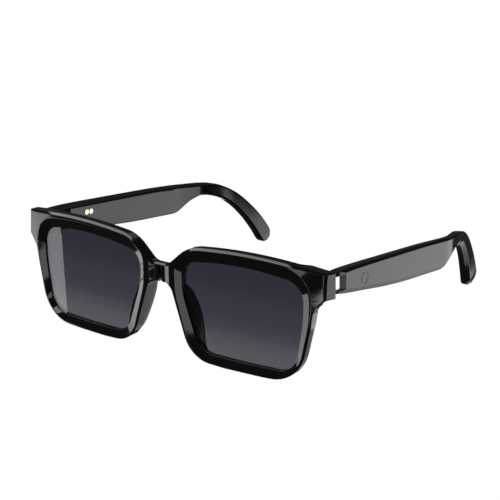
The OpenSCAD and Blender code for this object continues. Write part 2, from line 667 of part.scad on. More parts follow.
module paired(piece) {
    if (piece == "lens") lens();
    if (piece == "nose_pad") nose_pad();
    if (piece == "hinge_leaf") hinge_leaf();
    if (piece == "hinge_leaf_screws") hinge_leaf_screws();
    if (piece == "hinge_pin") hinge_pin();
    if (piece == "hinge_washers") hinge_washers();
    if (piece == "temple_shell") temple_shell();
    if (piece == "temple_cover") temple_cover();
    if (piece == "main_board") main_board();
    if (piece == "board_chips") board_chips();
    if (piece == "battery") battery();
    if (piece == "speaker_ribbon") speaker_ribbon();
    if (piece == "speaker") speaker();
    if (piece == "speaker_mesh") speaker_mesh();
    if (piece == "microphone") microphone();
    if (piece == "charging_contacts") charging_contacts();
    if (piece == "charger_magnets") charger_magnets();
    if (piece == "touch_pad") touch_pad();
    if (piece == "antenna") antenna();
    if (piece == "core_wire") core_wire();
}

front_frame();
for (side = SIDES) for (piece = PAIRED)
    on_side(side[1]) paired(piece);
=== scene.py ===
"""Smart glasses: a thick glossy black front, two tinted lenses and two hinged temples."""
import json
import math

import bmesh
import bpy
from mathutils import Matrix, Vector


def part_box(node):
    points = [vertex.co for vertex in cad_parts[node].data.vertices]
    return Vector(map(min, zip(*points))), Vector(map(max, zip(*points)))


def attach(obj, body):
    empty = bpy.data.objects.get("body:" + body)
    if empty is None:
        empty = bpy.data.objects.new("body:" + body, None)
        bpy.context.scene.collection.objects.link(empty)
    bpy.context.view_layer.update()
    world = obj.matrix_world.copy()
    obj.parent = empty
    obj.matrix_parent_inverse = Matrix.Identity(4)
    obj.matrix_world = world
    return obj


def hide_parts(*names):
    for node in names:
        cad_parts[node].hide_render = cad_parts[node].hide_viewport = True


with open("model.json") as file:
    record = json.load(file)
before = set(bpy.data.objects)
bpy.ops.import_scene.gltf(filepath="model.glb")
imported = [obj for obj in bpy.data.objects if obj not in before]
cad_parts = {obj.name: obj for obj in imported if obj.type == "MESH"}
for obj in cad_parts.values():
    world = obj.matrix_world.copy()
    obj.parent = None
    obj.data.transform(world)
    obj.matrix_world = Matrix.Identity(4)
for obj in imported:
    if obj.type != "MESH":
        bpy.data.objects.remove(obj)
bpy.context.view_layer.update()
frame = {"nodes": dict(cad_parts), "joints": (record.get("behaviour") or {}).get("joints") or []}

MM = 0.001
SIDES = (("left", 1), ("right", -1))


# ================================================================ sizes, in millimetres
def high_corner(node):
    """The upper corner of a CAD node's box."""
    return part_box(node)[1] / MM


front_high = high_corner("front_frame")
shell_high = high_corner("temple_shell_left")
hinge = Vector(frame["joints"][0]["pos_m"]) / MM

# Lens openings and the bevels round them
NOSE_HALF = 10.4
LENS_W = 53.8
LENS_H = 38.4
LENS_LIP = 0.7
LENS_T = 1.8
LENS_R = 400.0
LENS_SETBACK = 1.5
LAND = 1.0
BEVEL_TOP = 3.9
BEVEL_SIDE = 3.2
BEVEL_NOSE = 2.6
BEVEL_LOW = 2.8
BEVEL_DEPTH = 1.3
OPEN_LOW = LAND + BEVEL_LOW
OPEN_TOP = OPEN_LOW + LENS_H
OPEN_OUT = NOSE_HALF + LENS_W
OPEN_MID = NOSE_HALF + LENS_W / 2
MIDDLE = Vector((OPEN_MID, (OPEN_LOW + OPEN_TOP) / 2))

# Outline and depth of the front
WRAP_R = 572.0
DEPTH_TOP = 5.4
DEPTH_LOW = 4.3
RIM_TOP = OPEN_TOP + BEVEL_TOP + LAND + 0.6
END_H = 10.0
END_REACH = 9.1
END_FLARE = 1.0
END_X = OPEN_OUT + END_REACH
END_TOP = OPEN_TOP + 2.4
END_LOW = END_TOP - END_H
END_TILT = math.tan(math.radians(9))
BRIDGE_TOP = OPEN_TOP - 6.0
BRIDGE_LOW = BRIDGE_TOP - 7.5
BRIDGE_BACK = 0.9
BRIDGE_SIDE = 5.0
BRIDGE_FLAT = 2.5
LOW_CORNER = 15.0
LOW_OUT_X = OPEN_OUT + BEVEL_SIDE - 4.5
LOW_NOSE_X = NOSE_HALF - BEVEL_NOSE + 6.8
TOP_CHAMFER = 0.8
SIDE_CHAMFER = 0.35
REAR_ROUND = 1.5
BLOCK_ROUND = 0.45
FACE_Y = -shell_high.y
STOP_Y = front_high.y
WRAP_FALL = 4.7  # how far back the curved face has come at the end pieces
BLOCK_DEPTH = STOP_Y - FACE_Y - WRAP_FALL

# Temples
AXIS_X, AXIS_Y, HINGE_Z = hinge
TINE_R = 2.3
INNER_X = AXIS_X - TINE_R
ROOT_T = 6.5
ARM_T = 4.5
BODY_LEN = 81.2
BODY_H = 13.2
ROOT_H = 6.1
TEMPLE_LEN = shell_high.y - STOP_Y
HOOK_LEN = TEMPLE_LEN - BODY_LEN
DROOP = math.tan(math.radians(5.3))
TIP_R = 4.5
HOOK = math.tan(math.radians(18.5))
BEND_R = 50.0
COVER_T = 0.9
NOTCH_H = 4.66
NOTCH_OUT = 7.3
NOTCH_IN = 12.4
NOTCH_FALL = 3.75
TINE_T = 1.3
MARK_Y = 20.3
MARK_DROP = 5.8
MARK_OUTER_R = 2.4
MARK_INNER_R = 2.1
MARK_DEPTH = 0.15
COVER_START = 16.0

# Steps of the curves, and what counts as a real edge in degrees
OUTLINE_STEPS = 12
OPENING_STEPS = 14
SECTION_STEPS = 4
SEAM_STEPS = 8
LENS_RINGS = 18
LONGEST_RUN = 1.6
SHARP_ANGLE = 32
PAD_SHARP_ANGLE = 50
NORMAL_WEIGHT = 80


# ================================================================ outlines of rounded corners
def rounded(path, steps):
    """Points of a closed path of (a, b, radius) corners, each rounded in a number of steps."""
    points = []
    count = len(path)
    for i, (a, b, radius) in enumerate(path):
        q = Vector((a, b))
        p = Vector(path[i - 1][:2])
        s = Vector(path[(i + 1) % count][:2])
        u = (p - q).normalized()
        w = (s - q).normalized()
        half = u.angle(w) / 2
        centre = q + (u + w).normalized() * radius / math.sin(half)
        start = q + u * radius / math.tan(half) - centre
        spin = math.copysign(1, u.x * w.y - u.y * w.x)
        for k in range(steps + 1):
            turn = -spin * (math.pi - 2 * half) * k / steps
            points.append(centre + Matrix.Rotation(turn, 2) @ start)
    return points


def grown(path, d):
    """The clockwise path moved out by d all the way round."""
    moved = []
    count = len(path)
    for i, (a, b, radius) in enumerate(path):
        q = Vector((a, b))
        p = Vector(path[i - 1][:2])
        s = Vector(path[(i + 1) % count][:2])
        u = (p - q).normalized()
        w = (s - q).normalized()
        half = u.angle(w) / 2
        out = d if u.x * w.y - u.y * w.x > 0 else -d
        m = q - (u + w).normalized() * out / math.sin(half)
        moved.append((m.x, m.y, max(min(0.3, radius), radius + out)))
    return moved


OPENING = [
    (NOSE_HALF - 0.2, OPEN_TOP - 3.6, 7),
    (OPEN_MID, OPEN_TOP + 0.1, 120),
    (OPEN_OUT + 0.3, OPEN_TOP - 3.3, 8),
    (OPEN_OUT - 0.1, OPEN_TOP - 18, 60),
    (OPEN_OUT - 3.4, OPEN_LOW - 0.2, 9),
    (OPEN_MID, OPEN_LOW - 0.3, 150),
    (NOSE_HALF + 7.8, OPEN_LOW + 0.1, 9),
    (NOSE_HALF, OPEN_TOP - 16, 25),
]
BEVEL_EDGE = [
    (NOSE_HALF - BEVEL_NOSE, OPEN_TOP + BEVEL_TOP - 3.9, 8.5),
    (OPEN_MID, OPEN_TOP + BEVEL_TOP + 0.1, 150),
    (OPEN_OUT + BEVEL_SIDE + 0.4, OPEN_TOP + BEVEL_TOP - 3.4, 11),
    (OPEN_OUT + BEVEL_SIDE - 0.2, OPEN_TOP - 18, 60),
    (OPEN_OUT + BEVEL_SIDE - 4.9, OPEN_LOW - BEVEL_LOW, 10),
    (OPEN_MID, OPEN_LOW - BEVEL_LOW, 150),
    (NOSE_HALF - BEVEL_NOSE + 7.5, OPEN_LOW - BEVEL_LOW + 0.3, 10),
    (NOSE_HALF - BEVEL_NOSE, OPEN_TOP - 16, 25),
]
RIM_HALF = [
    (NOSE_HALF - 6.6, BRIDGE_TOP, 5),
    (NOSE_HALF + 3.4, RIM_TOP - 2.6, 16),
    (OPEN_MID + 3, RIM_TOP, 200),
    (END_X, END_TOP, 0.8),
    (END_X, END_LOW, 0.8),
    (OPEN_OUT + BEVEL_SIDE + 1.5, END_LOW - 4.6, 5),
    (OPEN_OUT + BEVEL_SIDE + LAND - 0.5, OPEN_TOP - 18.5, 60),
    (LOW_OUT_X, 0.5, LOW_CORNER),
    (LOW_OUT_X - LOW_CORNER, 0, 60),
    (LOW_NOSE_X + LOW_CORNER, 0, 60),
    (LOW_NOSE_X, 0.8, LOW_CORNER - 2),
    (NOSE_HALF - BEVEL_NOSE - LAND - 1.5, BRIDGE_LOW, 4.2),
]
RIM_PATH = RIM_HALF + [(-a, b, r) for a, b, r in reversed(RIM_HALF)]


def reach(loop, direction):
    """How far the closed loop is from the middle of the lens in a direction."""
    best = 0.0
    for i, q in enumerate(loop):
        p = loop[i - 1] - MIDDLE
        edge = q - loop[i - 1]
        cross = direction.x * edge.y - direction.y * edge.x
        if abs(cross) < 1e-9:
            continue
        along = (p.x * edge.y - p.y * edge.x) / cross
        share = (p.x * direction.y - p.y * direction.x) / cross
        if -1e-6 <= share <= 1 + 1e-6 and along > best:
            best = along
    return best


def arc(x, y, radius, degrees):
    """Points of a circle at the given angles."""
    return [(x + radius * math.cos(math.radians(a)), y + radius * math.sin(math.radians(a)))
            for a in degrees]


def smooth_step(value):
    value = max(0.0, min(1.0, value))
    return value * value * (3 - 2 * value)


def mix(a, b, share):
    return a + (b - a) * share


def wrap_y(x):
    return FACE_Y + WRAP_R - math.sqrt(WRAP_R * WRAP_R - x * x)


def rim_depth(z):
    return mix(DEPTH_LOW, DEPTH_TOP, z / RIM_TOP)


# ================================================================ meshes
def in_scene(name, data):
    """A new object with this data, in the scene."""
    made = bpy.data.objects.new(name, data)
    bpy.context.scene.collection.objects.link(made)
    return made


def object_from(name, bm):
    """Turns a mesh in millimetres into an object of the scene."""
    bmesh.ops.scale(bm, vec=(MM, MM, MM), verts=bm.verts)
    mesh = bpy.data.meshes.new(name)
    bm.to_mesh(mesh)
    bm.free()
    return in_scene(name, mesh)


def new_object(name, bm, body, material, sharp=SHARP_ANGLE, weld=0.004):
    """Makes a mesh piece from millimetres, smooth but for its real edges, riding on a body."""
    bmesh.ops.remove_doubles(bm, verts=bm.verts, dist=weld)
    bmesh.ops.dissolve_degenerate(bm, edges=bm.edges, dist=weld / 4)
    loose = [v for v in bm.verts if not v.link_faces]
    bmesh.ops.delete(bm, geom=loose, context="VERTS")
    bmesh.ops.recalc_face_normals(bm, faces=bm.faces)
    piece = object_from(name, bm)
    piece.data.shade_smooth()
    piece.data.set_sharp_from_angle(angle=math.radians(sharp))
    piece.data.materials.append(material)
    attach(piece, body)
    return piece


def even_normals(piece):
    """Lets the large faces of a piece set the shading next to its small ones."""
    weighted = piece.modifiers.new("even_normals", "WEIGHTED_NORMAL")
    weighted.keep_sharp = True
    weighted.weight = NORMAL_WEIGHT


def join_rows(bm, rows, cyclic=True):
    """Faces between rows of vertices that all have the same length."""
    for near, far in zip(rows, rows[1:]):
        count = len(near)
        for i in range(count if cyclic else count - 1):
            j = (i + 1) % count
            corners = []
            for v in (near[i], near[j], far[j], far[i]):
                if v not in corners:
                    corners.append(v)
            if len(corners) > 2:
                bm.faces.new(corners)


def add_row(bm, points):
    return [bm.verts.new(p) for p in points]


def prism(points, low, high, place=None):
    """A closed prism over a plan outline. low and high are heights or functions of a point."""
    bm = bmesh.new()
    height_low = low if callable(low) else lambda p: low
    height_high = high if callable(high) else lambda p: high
    bottom = [bm.verts.new((p[0], p[1], height_low(p))) for p in points]
    top = [bm.verts.new((p[0], p[1], height_high(p))) for p in points]
    bm.faces.new(list(reversed(bottom)))
    bm.faces.new(top)
    join_rows(bm, [bottom, top])
    if place is not None:
        bmesh.ops.transform(bm, matrix=place, verts=bm.verts)
    bmesh.ops.recalc_face_normals(bm, faces=bm.faces)
    return object_from("cutter", bm)


def cut(piece, cutter):
    """Applies one boolean to the piece and removes the cutter."""
    boolean = piece.modifiers.new("cut", "BOOLEAN")
    boolean.object = cutter
    boolean.operation = "DIFFERENCE"
    boolean.solver = "EXACT"
    with bpy.context.temp_override(object=piece, active_object=piece):
        bpy.ops.object.modifier_apply(modifier=boolean.name)
    bpy.data.objects.remove(cutter)


def mirrored_mesh(bm):
    bmesh.ops.scale(bm, vec=(-1, 1, 1), verts=bm.verts)
    bmesh.ops.reverse_faces(bm, faces=bm.faces)


# ================================================================ material groups
def link(tree, source, target):
    tree.links.new(source, target)


def new_group(name, inputs, outputs):
    """A shader node group with its named sockets, and its two end nodes."""
    tree = bpy.data.node_groups.new(name, "ShaderNodeTree")
    for label, kind, value in inputs:
        socket = tree.interface.new_socket(name=label, in_out="INPUT", socket_type=kind)
        if value is not None:
            socket.default_value = value
    for label, kind in outputs:
        tree.interface.new_socket(name=label, in_out="OUTPUT", socket_type=kind)
    start = tree.nodes.new("NodeGroupInput")
    end = tree.nodes.new("NodeGroupOutput")
    return tree, start, end


def noise_node(tree, scale, detail, rough=0.55):
    node = tree.nodes.new("ShaderNodeTexNoise")
    node.inputs["Scale"].default_value = scale
    node.inputs["Detail"].default_value = detail
    node.inputs["Roughness"].default_value = rough
    return node


def ranged(tree, source, low, high, to_low, to_high):
    node = tree.nodes.new("ShaderNodeMapRange")
    node.inputs["From Min"].default_value = low
    node.inputs["From Max"].default_value = high
    node.inputs["To Min"].default_value = to_low
    node.inputs["To Max"].default_value = to_high
    link(tree, source, node.inputs["Value"])
    return node.outputs["Result"]


# Where the colours are among the sockets of a Mix node, which has a set for each kind of data
MIX_FIRST = 6
MIX_SECOND = 7
MIX_RESULT = 2


def colour_mix(tree, factor):
    """A blend of two colours. Returns the sockets of the two colours and of the result."""
    node = tree.nodes.new("ShaderNodeMix")
    node.data_type = "RGBA"
    link(tree, factor, node.inputs["Factor"])
    return node.inputs[MIX_FIRST], node.inputs[MIX_SECOND], node.outputs[MIX_RESULT]


def math_node(tree, operation, first, second):
    node = tree.nodes.new("ShaderNodeMath")
    node.operation = operation
    for socket, value in zip(node.inputs, (first, second)):
        if isinstance(value, (int, float)):
            socket.default_value = value
        else:
            link(tree, value, socket)
    return node.outputs[0]


def make_handling():
    """Fine handling marks: hazy patches, hairline scratches and a little dust."""
    tree, start, end = new_group(
        "handling_marks",
        [("Gloss", "NodeSocketFloat", 0.08), ("Haze", "NodeSocketFloat", 0.03),
         ("Scratches", "NodeSocketFloat", 0.5)],
        [("Roughness", "NodeSocketFloat"), ("Height", "NodeSocketFloat"), ("Dust", "NodeSocketFloat")])
    place = tree.nodes.new("ShaderNodeTexCoord")
    patches = noise_node(tree, 90.0, 3.0)
    link(tree, place.outputs["Object"], patches.inputs["Vector"])
    stretch = tree.nodes.new("ShaderNodeMapping")
    stretch.inputs["Scale"].default_value = (0.6, 0.05, 1.0)
    stretch.inputs["Rotation"].default_value = (0.3, 0.2, 0.5)
    link(tree, place.outputs["Object"], stretch.inputs["Vector"])
    hairs = noise_node(tree, 2600.0, 2.0, 0.4)
    link(tree, stretch.outputs["Vector"], hairs.inputs["Vector"])
    hair_mask = ranged(tree, hairs.outputs["Fac"], 0.66, 0.72, 0.0, 1.0)
    specks = noise_node(tree, 2200.0, 1.0, 0.3)
    link(tree, place.outputs["Object"], specks.inputs["Vector"])
    dust = ranged(tree, specks.outputs["Fac"], 0.74, 0.78, 0.0, 1.0)
    patch = ranged(tree, patches.outputs["Fac"], 0.35, 0.75, 0.0, 1.0)
    hazy = math_node(tree, "MULTIPLY", patch, start.outputs["Haze"])
    scratch = math_node(tree, "MULTIPLY", hair_mask, start.outputs["Scratches"])
    worn = math_node(tree, "MULTIPLY", scratch, 0.06)
    total = math_node(tree, "ADD", math_node(tree, "ADD", start.outputs["Gloss"], hazy), worn)
    link(tree, total, end.inputs["Roughness"])
    link(tree, math_node(tree, "SUBTRACT", 1.0, scratch), end.inputs["Height"])
    link(tree, dust, end.inputs["Dust"])
    return tree


def make_brushing():
    """Fine turned or brushed lines for metal."""
    tree, start, end = new_group(
        "brushed_lines",
        [("Scale", "NodeSocketFloat", 1.0), ("Gloss", "NodeSocketFloat", 0.25)],
        [("Shade", "NodeSocketFloat"), ("Roughness", "NodeSocketFloat"), ("Height", "NodeSocketFloat")])
    place = tree.nodes.new("ShaderNodeTexCoord")
    stretch = tree.nodes.new("ShaderNodeMapping")
    stretch.inputs["Scale"].default_value = (0.15, 0.15, 6.0)
    link(tree, place.outputs["Object"], stretch.inputs["Vector"])
    lines = noise_node(tree, 1500.0, 3.0)
    link(tree, stretch.outputs["Vector"], lines.inputs["Vector"])
    link(tree, math_node(tree, "MULTIPLY", start.outputs["Scale"], 1500.0), lines.inputs["Scale"])
    link(tree, ranged(tree, lines.outputs["Fac"], 0.3, 0.7, 0.75, 1.0), end.inputs["Shade"])
    spread = ranged(tree, lines.outputs["Fac"], 0.3, 0.7, 0.0, 0.15)
    link(tree, math_node(tree, "ADD", start.outputs["Gloss"], spread), end.inputs["Roughness"])
    link(tree, lines.outputs["Fac"], end.inputs["Height"])
    return tree


def make_speckle():
    """Mottled colour and a fine moulded grain."""
    tree, start, end = new_group(
        "moulded_speckle",
        [("First", "NodeSocketColor", None), ("Second", "NodeSocketColor", None),
         ("Scale", "NodeSocketFloat", 1.0)],
        [("Color", "NodeSocketColor"), ("Height", "NodeSocketFloat")])
    place = tree.nodes.new("ShaderNodeTexCoord")
    grain = noise_node(tree, 1200.0, 5.0)
    link(tree, place.outputs["Object"], grain.inputs["Vector"])
    link(tree, math_node(tree, "MULTIPLY", start.outputs["Scale"], 1200.0), grain.inputs["Scale"])
    first, second, blend = colour_mix(tree, ranged(tree, grain.outputs["Fac"], 0.35, 0.65, 0.0, 1.0))
    link(tree, start.outputs["First"], first)
    link(tree, start.outputs["Second"], second)
    link(tree, blend, end.inputs["Color"])
    link(tree, grain.outputs["Fac"], end.inputs["Height"])
    return tree


HANDLING = make_handling()
BRUSHING = make_brushing()
SPECKLE = make_speckle()


def new_material(name):
    """A node material with its Principled shader."""
    material = bpy.data.materials.new(name)
    material.use_nodes = True
    tree = material.node_tree
    shader = tree.nodes["Principled BSDF"]
    return material, tree, shader


def place_group(tree, group, **values):
    node = tree.nodes.new("ShaderNodeGroup")
    node.node_tree = group
    for label, value in values.items():
        node.inputs[label].default_value = value
    return node


def add_bump(tree, shader, height, distance, strength=0.3):
    bump = tree.nodes.new("ShaderNodeBump")
    bump.inputs["Strength"].default_value = strength
    bump.inputs["Distance"].default_value = distance
    link(tree, height, bump.inputs["Height"])
    link(tree, bump.outputs["Normal"], shader.inputs["Normal"])


# ================================================================ materials
def polished_black(name, gloss, haze):
    """Polished black plastic with a clear surface and the faintest handling marks."""
    material, tree, shader = new_material(name)
    marks = place_group(tree, HANDLING, Gloss=gloss, Haze=haze, Scratches=0.35)
    shader.inputs["IOR"].default_value = 1.5
    clean, dusty, tone = colour_mix(tree, math_node(tree, "MULTIPLY", marks.outputs["Dust"], 0.5))
    clean.default_value = (0.0035, 0.0035, 0.004, 1)
    dusty.default_value = (0.02, 0.02, 0.021, 1)
    link(tree, tone, shader.inputs["Base Color"])
    link(tree, marks.outputs["Roughness"], shader.inputs["Roughness"])
    add_bump(tree, shader, marks.outputs["Height"], 0.000001, 0.05)
    return material


def tinted_lens():
    """Grey lens, darker and bluer at the top, with a fine grain in the tint."""
    material, tree, shader = new_material("tinted_lens")
    shader.inputs["Transmission Weight"].default_value = 1.0
    shader.inputs["IOR"].default_value = 1.52
    place = tree.nodes.new("ShaderNodeTexCoord")
    split = tree.nodes.new("ShaderNodeSeparateXYZ")
    link(tree, place.outputs["Object"], split.inputs["Vector"])
    height = ranged(tree, split.outputs["Z"], (OPEN_LOW + 1) * MM, (OPEN_TOP - 4) * MM, 0.0, 1.0)
    grain = noise_node(tree, 1500.0, 2.0, 0.7)
    link(tree, place.outputs["Object"], grain.inputs["Vector"])
    grained = math_node(tree, "ADD", height, ranged(tree, grain.outputs["Fac"], 0.3, 0.7, -0.09, 0.09))
    ramp = tree.nodes.new("ShaderNodeValToRGB")
    ramp.color_ramp.interpolation = "EASE"
    ramp.color_ramp.elements[0].color = (0.098, 0.1, 0.112, 1)
    ramp.color_ramp.elements[1].position = 0.95
    ramp.color_ramp.elements[1].color = (0.027, 0.028, 0.039, 1)
    middle = ramp.color_ramp.elements.new(0.5)
    middle.color = (0.04, 0.041, 0.055, 1)
    link(tree, grained, ramp.inputs["Fac"])
    link(tree, ramp.outputs["Color"], shader.inputs["Base Color"])
    smear = noise_node(tree, 60.0, 3.0)
    link(tree, place.outputs["Object"], smear.inputs["Vector"])
    link(tree, ranged(tree, smear.outputs["Fac"], 0.3, 0.8, 0.0, 0.03), shader.inputs["Roughness"])
    return material


def metal(name, colour, gloss, scale=1.0):
    """Metal with fine lines in its colour, gloss and surface."""
    material, tree, shader = new_material(name)
    shader.inputs["Metallic"].default_value = 1.0
    lines = place_group(tree, BRUSHING, Scale=scale, Gloss=gloss)
    dark, bright, shade = colour_mix(tree, lines.outputs["Shade"])
    dark.default_value = tuple(0.6 * c for c in colour) + (1,)
    bright.default_value = colour + (1,)
    link(tree, shade, shader.inputs["Base Color"])
    link(tree, lines.outputs["Roughness"], shader.inputs["Roughness"])
    add_bump(tree, shader, lines.outputs["Height"], 0.000008)
    return material


def moulded(name, first, second, rough, scale=1.0):
    """Plastic or resin with a mottled colour and a moulded grain."""
    material, tree, shader = new_material(name)
    speckle = place_group(tree, SPECKLE, First=first + (1,), Second=second + (1,), Scale=scale)
    link(tree, speckle.outputs["Color"], shader.inputs["Base Color"])
    gloss = ranged(tree, speckle.outputs["Height"], 0.3, 0.7, rough, rough + 0.15)
    link(tree, gloss, shader.inputs["Roughness"])
    add_bump(tree, shader, speckle.outputs["Height"], 0.00001)
    return material


FRAME_BLACK = polished_black("frame_black", 0.05, 0.03)
TEMPLE_BLACK = polished_black("temple_black", 0.1, 0.05)
COVER_BLACK = polished_black("cover_black", 0.2, 0.06)
LENS_TINT = tinted_lens()
STEEL = metal("hinge_steel", (0.6, 0.61, 0.63), 0.22)
GOLD = metal("contact_gold", (0.9, 0.76, 0.5), 0.2)
FOIL = metal("battery_foil", (0.75, 0.76, 0.8), 0.35, 0.4)
SPEAKER_METAL = metal("speaker_metal", (0.3, 0.3, 0.32), 0.3)
NICKEL = metal("magnet_nickel", (0.66, 0.66, 0.64), 0.12)
COPPER = metal("antenna_copper", (0.85, 0.5, 0.3), 0.25)
NYLON = moulded("washer_nylon", (0.72, 0.71, 0.67), (0.62, 0.61, 0.57), 0.4)
SOLDER_MASK = moulded("circuit_board", (0.01, 0.13, 0.06), (0.015, 0.2, 0.09), 0.3, 0.6)
CHIP = moulded("chip_black", (0.015, 0.015, 0.016), (0.03, 0.03, 0.032), 0.45)
AMBER = moulded("ribbon_amber", (0.5, 0.22, 0.03), (0.6, 0.3, 0.06), 0.25)

CAD_FINISHES = {
    "hinge_leaf": STEEL, "hinge_leaf_screws": STEEL, "hinge_pin": STEEL, "core_wire": STEEL,
    "hinge_washers": NYLON, "temple_cover": COVER_BLACK, "main_board": SOLDER_MASK,
    "board_chips": CHIP, "battery": FOIL, "speaker_ribbon": AMBER, "speaker": SPEAKER_METAL,
    "speaker_mesh": SPEAKER_METAL, "microphone": GOLD, "charging_contacts": GOLD,
    "charger_magnets": NICKEL, "touch_pad": AMBER, "antenna": COPPER,
}


def finish_cad_nodes():
    """Gives the CAD nodes that stay visible their real finish."""
    for side, _ in SIDES:
        for piece, material in CAD_FINISHES.items():
            node = frame["nodes"][f"{piece}_{side}"]
            for place in node.material_slots:
                place.material = material


# ================================================================ the front
def split_runs(points):
    """Places along the outline as (index, share) pairs, with the long straight runs divided."""
    places = []
    count = len(points)
    for i, p in enumerate(points):
        q = points[(i + 1) % count]
        pieces = max(1, math.ceil((q - p).length / LONGEST_RUN))
        places += [(i, k / pieces) for k in range(pieces)]
    return places


def along(points, place):
    i, share = place
    return points[i].lerp(points[(i + 1) % len(points)], share)


def half_stations():
    """The half outline from the top of the bridge to its underside, at its edge and drawn in."""
    edge = rounded(RIM_PATH, OUTLINE_STEPS)
    drawn_in = rounded(grown(RIM_PATH, -REAR_ROUND), OUTLINE_STEPS)
    places = [p for p in split_runs(edge) if along(edge, p).x > 0.3]
    start = edge[0].copy()
    inner = drawn_in[0].copy()
    top = (Vector((0, start.y)), Vector((0, inner.y)))
    last = along(edge, places[-1])
    last_in = along(drawn_in, places[-1])
    low = (Vector((0, last.y)), Vector((0, last_in.y)))
    return [top] + [(along(edge, p), along(drawn_in, p)) for p in places] + [low]


def drawn(station, amount):
    return station[0].lerp(station[1], amount / REAR_ROUND)


def block_share(p):
    """How much a point belongs to the rear block of the end piece, from 0 to 1."""
    across = (p.x - (END_X - 11.4)) / 1.6
    up = (p.y - (END_LOW - 0.9)) / 0.8
    return smooth_step(min(across, up))


def bridge_recess(x):
    depth = BRIDGE_BACK * (BRIDGE_SIDE - abs(x)) / (BRIDGE_SIDE - BRIDGE_FLAT)
    soft = 0.05
    low = (depth + math.sqrt(depth * depth + soft * soft)) / 2
    over = BRIDGE_BACK - low
    return BRIDGE_BACK - (over + math.sqrt(over * over + soft * soft)) / 2


def rear_y(p):
    return mix(wrap_y(p.x) + rim_depth(p.y), STOP_Y, block_share(p))


def nose_share(p):
    """How much a point lies on the nose side, where a pad carries the rim on to the rear."""
    return smooth_step((24 - p.x) / 6) * smooth_step((BRIDGE_LOW + 4 - p.y) / 5)


def rear_profile(p, amount):
    """How far the rounded rear edge is in front of the rear face, at amount inside the outline."""
    radius = mix(REAR_ROUND, BLOCK_ROUND, block_share(p))
    radius = mix(radius, 0.3, nose_share(p))
    if amount >= radius:
        return 0.0
    share = 1 - amount / radius
    return 1.2 * radius * (1 - math.sqrt(max(0.0, 1 - share * share)))


def placed(p, y):
    """A front point, with the end piece flared and sloped towards the rear."""
    share = block_share(p)
    behind = max(0.0, y - wrap_y(p.x)) / BLOCK_DEPTH
    flare = END_FLARE * behind * share * smooth_step((p.x - END_X + 4) / 3)
    fall = BLOCK_DEPTH * behind * DROOP * share
    return Vector((p.x + flare, y, p.y - fall))


def lens_front_y(x):
    away = x - OPEN_MID
    slope = OPEN_MID / math.sqrt(WRAP_R * WRAP_R - OPEN_MID * OPEN_MID)
    return wrap_y(OPEN_MID) + LENS_SETBACK + away * slope + away * away / (2 * LENS_R)


def ray_ways(points):
    """Directions from the middle of the lens to the clockwise points, kept in order.

    Under an end piece the outline doubles back, so the rays there are spread between
    the lowest angle so far and the highest one still to come, and then evened out.
    """
    turns = []
    for p in points:
        turn = math.atan2(p.y - MIDDLE.y, p.x - MIDDLE.x)
        while turns and turn > turns[-1] + math.pi:
            turn -= 2 * math.pi
        turns.append(turn)
    lowest = turns[:]
    highest = turns[:]
    for i in range(1, len(turns)):
        lowest[i] = min(lowest[i], lowest[i - 1])
        highest[-1 - i] = max(highest[-1 - i], highest[-i])
    spread = [(a + b) / 2 for a, b in zip(lowest, highest)]
    evened = []
    for i, turn in enumerate(turns):
        near = range(max(0, i - 6), min(len(turns), i + 7))
        doubled = any(highest[k] - lowest[k] > 1e-6 for k in near)
        evened.append(sum(spread[k] for k in near) / len(near) if doubled else turn)
    return [Vector((math.cos(turn), math.sin(turn))) for turn in evened]


